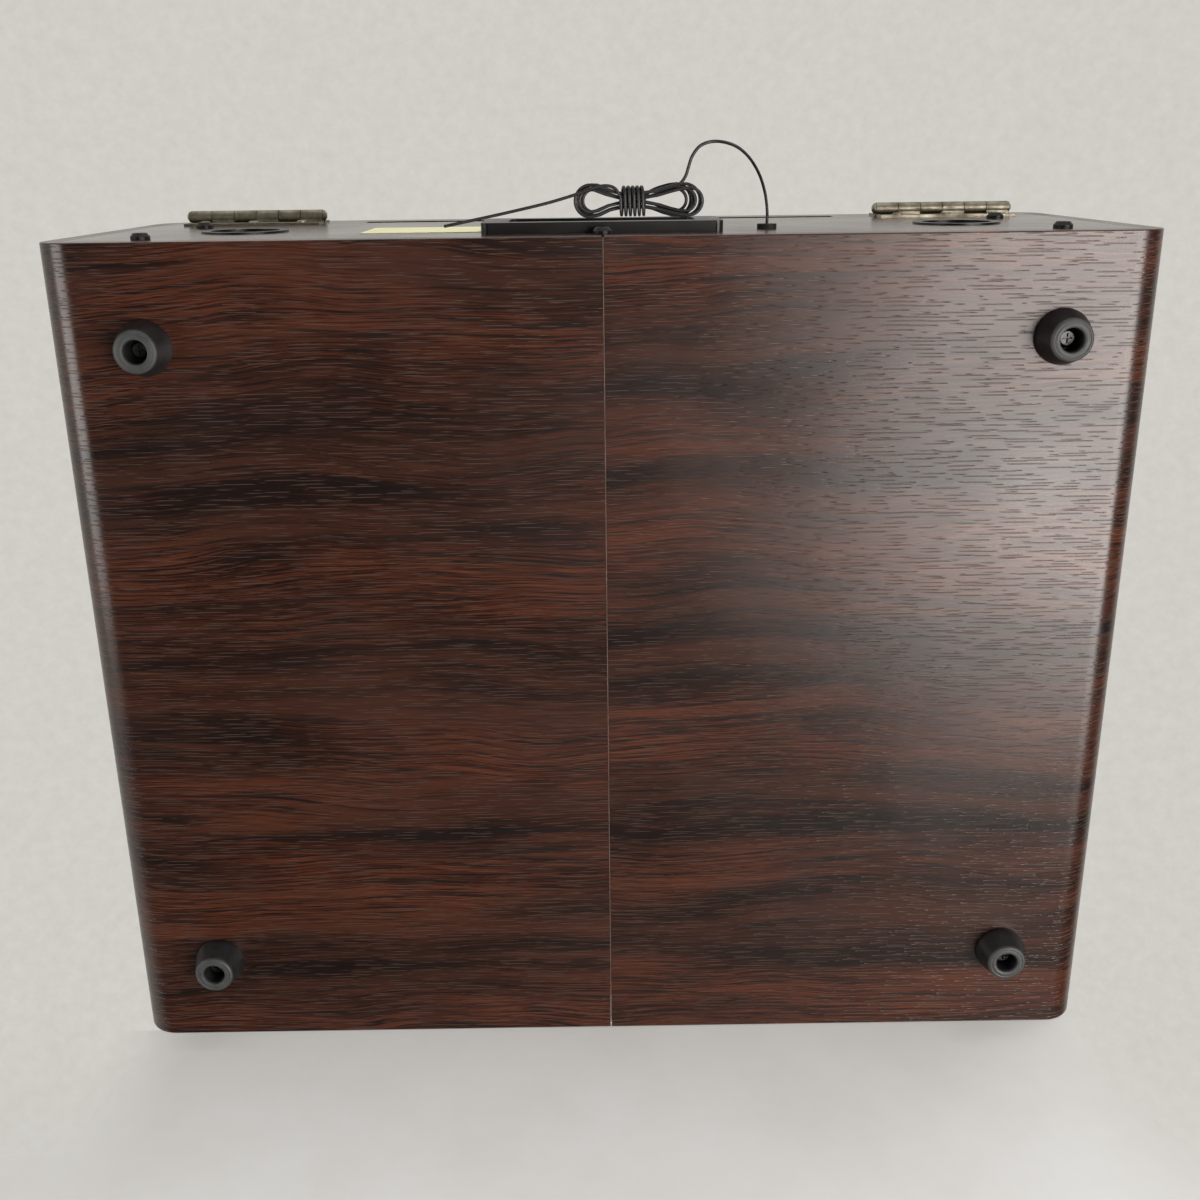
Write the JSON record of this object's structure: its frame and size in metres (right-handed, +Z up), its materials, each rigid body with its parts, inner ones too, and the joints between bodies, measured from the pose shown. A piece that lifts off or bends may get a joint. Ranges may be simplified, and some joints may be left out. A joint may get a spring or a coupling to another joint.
{
  "type": "record player",
  "caption": "Table record player in a wood-wrapped case with radio front, hinged lid on a slotted stay, belt-driven platter, pivoted tonearm and a tied hank of antenna wire.",
  "frame": {"origin": "centre of the footprint on the plane the feet stand on", "axes": "+X to the right seen from the front, +Y to the rear, +Z up"},
  "size_m": [0.44, 0.3941, 0.184],
  "materials": {
    "wood_wrap": "dark reddish wood-grain vinyl wrap, satin",
    "fascia_wood": "dark satin veneer",
    "raw_wood": "sawn softwood",
    "deck_black": "fine-textured black plastic",
    "black_rubber": "matt rubber",
    "steel": "plated steel",
    "black_steel": "black-finished steel",
    "black_plastic": "moulded black plastic",
    "jack_plastic": "moulded red and white plastic",
    "label_film": "pale yellow blank film",
    "wire_black": "soft vinyl insulation",
    "antique_brass": "antiqued brass plate",
    "polished_brass": "lacquered brass",
    "board_green": "laminate board",
    "dial_ivory": "printed ivory card",
    "cord_fibre": "twisted fibre",
    "dial_glass": "clear glass",
    "cone_paper": "pressed paper",
    "cast_aluminium": "turned aluminium",
    "pickup_red": "moulded red plastic",
    "pointer_red": "painted red"
  },
  "bodies": {
    "base": {"cabinet_left": "wood_wrap", "cabinet_right": "wood_wrap", "cabinet_battens": "raw_wood", "front_baffle": "fascia_wood", "front_rail": "wood_wrap", "rear_panel": "wood_wrap", "deck_plate": "deck_black", "feet": "black_rubber", "foot_screws": "steel", "rear_panel_screws": "black_steel", "jack_plate": "black_plastic", "phono_jacks": "jack_plastic", "power_jack": "black_plastic", "port_tubes": "black_plastic", "blank_label": "label_film", "antenna_grommet": "black_rubber", "antenna_lead": "wire_black", "antenna_hank": "wire_black", "antenna_tail": "wire_black", "hinge_base_leaves": "antique_brass", "hinge_pins": "antique_brass", "hinge_base_screws": "antique_brass", "spindle": "steel", "drive_motor": "steel", "drive_belt": "black_rubber", "arm_base": "deck_black", "arm_rest": "deck_black", "cue_platform": "black_plastic", "stay_pivot": "antique_brass", "main_board": "board_green", "control_pots": "steel", "tuning_condenser": "steel", "dial_scale": "dial_ivory", "dial_cord": "cord_fibre", "dial_glass": "dial_glass", "dial_bezel": "polished_brass", "speaker_baskets": "deck_black", "speaker_cones": "cone_paper", "speaker_grilles": "black_steel"},
    "lid": {"lid_shell": "wood_wrap", "lid_front_rail": "wood_wrap", "lid_rear_rail": "wood_wrap", "lid_bumpers": "black_rubber", "hinge_lid_leaves": "antique_brass", "hinge_lid_screws": "antique_brass", "stay_track": "antique_brass"},
    "stay": {"stay_arm": "antique_brass"},
    "platter": {"platter": "cast_aluminium", "platter_mat": "black_rubber"},
    "motor_rotor": {"motor_pulley": "polished_brass"},
    "arm_swivel": {"arm_yoke": "steel"},
    "tonearm": {"tonearm": "cast_aluminium", "counterweight": "black_steel", "cartridge": "pickup_red"},
    "cue_lever": {"cue_lever": "black_plastic"},
    "speed_selector": {"speed_selector": "steel"},
    "volume_knob": {"volume_knob": "polished_brass"},
    "function_knob": {"function_knob": "polished_brass"},
    "tuning_knob": {"tuning_knob": "polished_brass"},
    "dial_pointer": {"dial_pointer": "pointer_red"}
  },
  "joints": [
    {"name": "lid_hinge", "type": "hinge", "parent": "base", "child": "lid", "pos_m": [0, 0.18045, 0.1544], "axis": [-1, 0, 0], "range_deg": [0, 72]},
    {"name": "stay_swing", "type": "hinge", "parent": "base", "child": "stay", "pos_m": [-0.2071, 0.10618, 0.14396], "axis": [-1, 0, 0], "range_deg": [0, 144.5]},
    {"name": "platter_spin", "type": "hinge", "parent": "base", "child": "platter", "pos_m": [-0.045, 0.00575, 0.14], "axis": [0, 0, -1], "continuous": true},
    {"name": "pulley_spin", "type": "hinge", "parent": "base", "child": "motor_rotor", "pos_m": [-0.105, 0.06575, 0.135], "axis": [0, 0, -1], "continuous": true},
    {"name": "tonearm_swing", "type": "hinge", "parent": "base", "child": "arm_swivel", "pos_m": [0.15, 0.10075, 0.148], "axis": [0, 0, -1], "range_deg": [0, 50]},
    {"name": "tonearm_lift", "type": "hinge", "parent": "arm_swivel", "child": "tonearm", "pos_m": [0.15, 0.10075, 0.162], "axis": [-1, 0, 0], "range_deg": [0, 1.8]},
    {"name": "cue_lever", "type": "hinge", "parent": "base", "child": "cue_lever", "pos_m": [0.185, 0.10075, 0.149], "axis": [-1, 0, 0], "range_deg": [0, 46]},
    {"name": "speed_select", "type": "hinge", "parent": "base", "child": "speed_selector", "pos_m": [0.188, -0.06025, 0.134], "axis": [0, 0, -1], "range_deg": [-25, 25]},
    {"name": "volume_turn", "type": "hinge", "parent": "base", "child": "volume_knob", "pos_m": [-0.058, -0.172, 0.047], "axis": [0, 1, 0], "range_deg": [0, 270]},
    {"name": "function_turn", "type": "hinge", "parent": "base", "child": "function_knob", "pos_m": [0, -0.172, 0.047], "axis": [0, 1, 0], "range_deg": [-60, 60]},
    {"name": "tuning_turn", "type": "hinge", "parent": "base", "child": "tuning_knob", "pos_m": [0.058, -0.172, 0.047], "axis": [0, 1, 0], "range_deg": [-150, 150]},
    {"name": "pointer_slide", "type": "slide", "parent": "base", "child": "dial_pointer", "axis": [1, 0, 0], "range_m": [-0.06, 0.06]}
  ],
  "couplings": [
    {"joint": "stay_swing", "follows": "lid_hinge", "ratio": 2},
    {"joint": "pulley_spin", "follows": "platter_spin", "ratio": 10},
    {"joint": "cue_lever", "follows": "tonearm_lift", "ratio": 25},
    {"joint": "pointer_slide", "follows": "tuning_turn", "m_per_rad": 0.0229}
  ]
}
